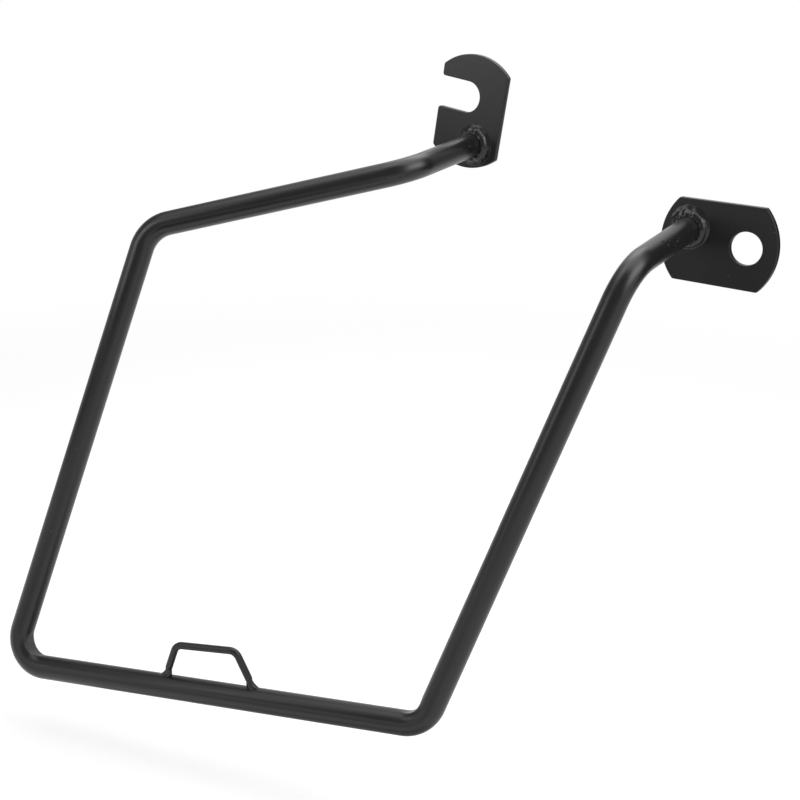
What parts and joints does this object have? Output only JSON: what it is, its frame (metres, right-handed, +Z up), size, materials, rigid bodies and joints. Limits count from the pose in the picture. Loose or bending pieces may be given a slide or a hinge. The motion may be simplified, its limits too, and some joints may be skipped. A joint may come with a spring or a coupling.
{
  "type": "pannier frame",
  "caption": "Bent round-bar pannier frame with a slotted tab, a holed tab and a small strap loop on its bottom run.",
  "frame": {"origin": "centre of the round hole, on the back face of the holed tab", "axes": "+X to the right along the holed tab, +Y along the hole towards the vehicle, +Z up"},
  "size_m": [0.3124, 0.2052, 0.3151],
  "materials": {
    "bar_coat": "satin black powder coat on round bar and wire",
    "tab_coat": "satin black powder coat on flat sheet",
    "weld_coat": "satin black powder coat over rippled weld"
  },
  "bodies": {
    "root": {"bent_bar": "bar_coat", "slotted_tab": "tab_coat", "holed_tab": "tab_coat", "slotted_tab_weld": "weld_coat", "holed_tab_weld": "weld_coat", "strap_loop": "bar_coat", "loop_left_weld": "weld_coat", "loop_right_weld": "weld_coat"}
  },
  "joints": []
}
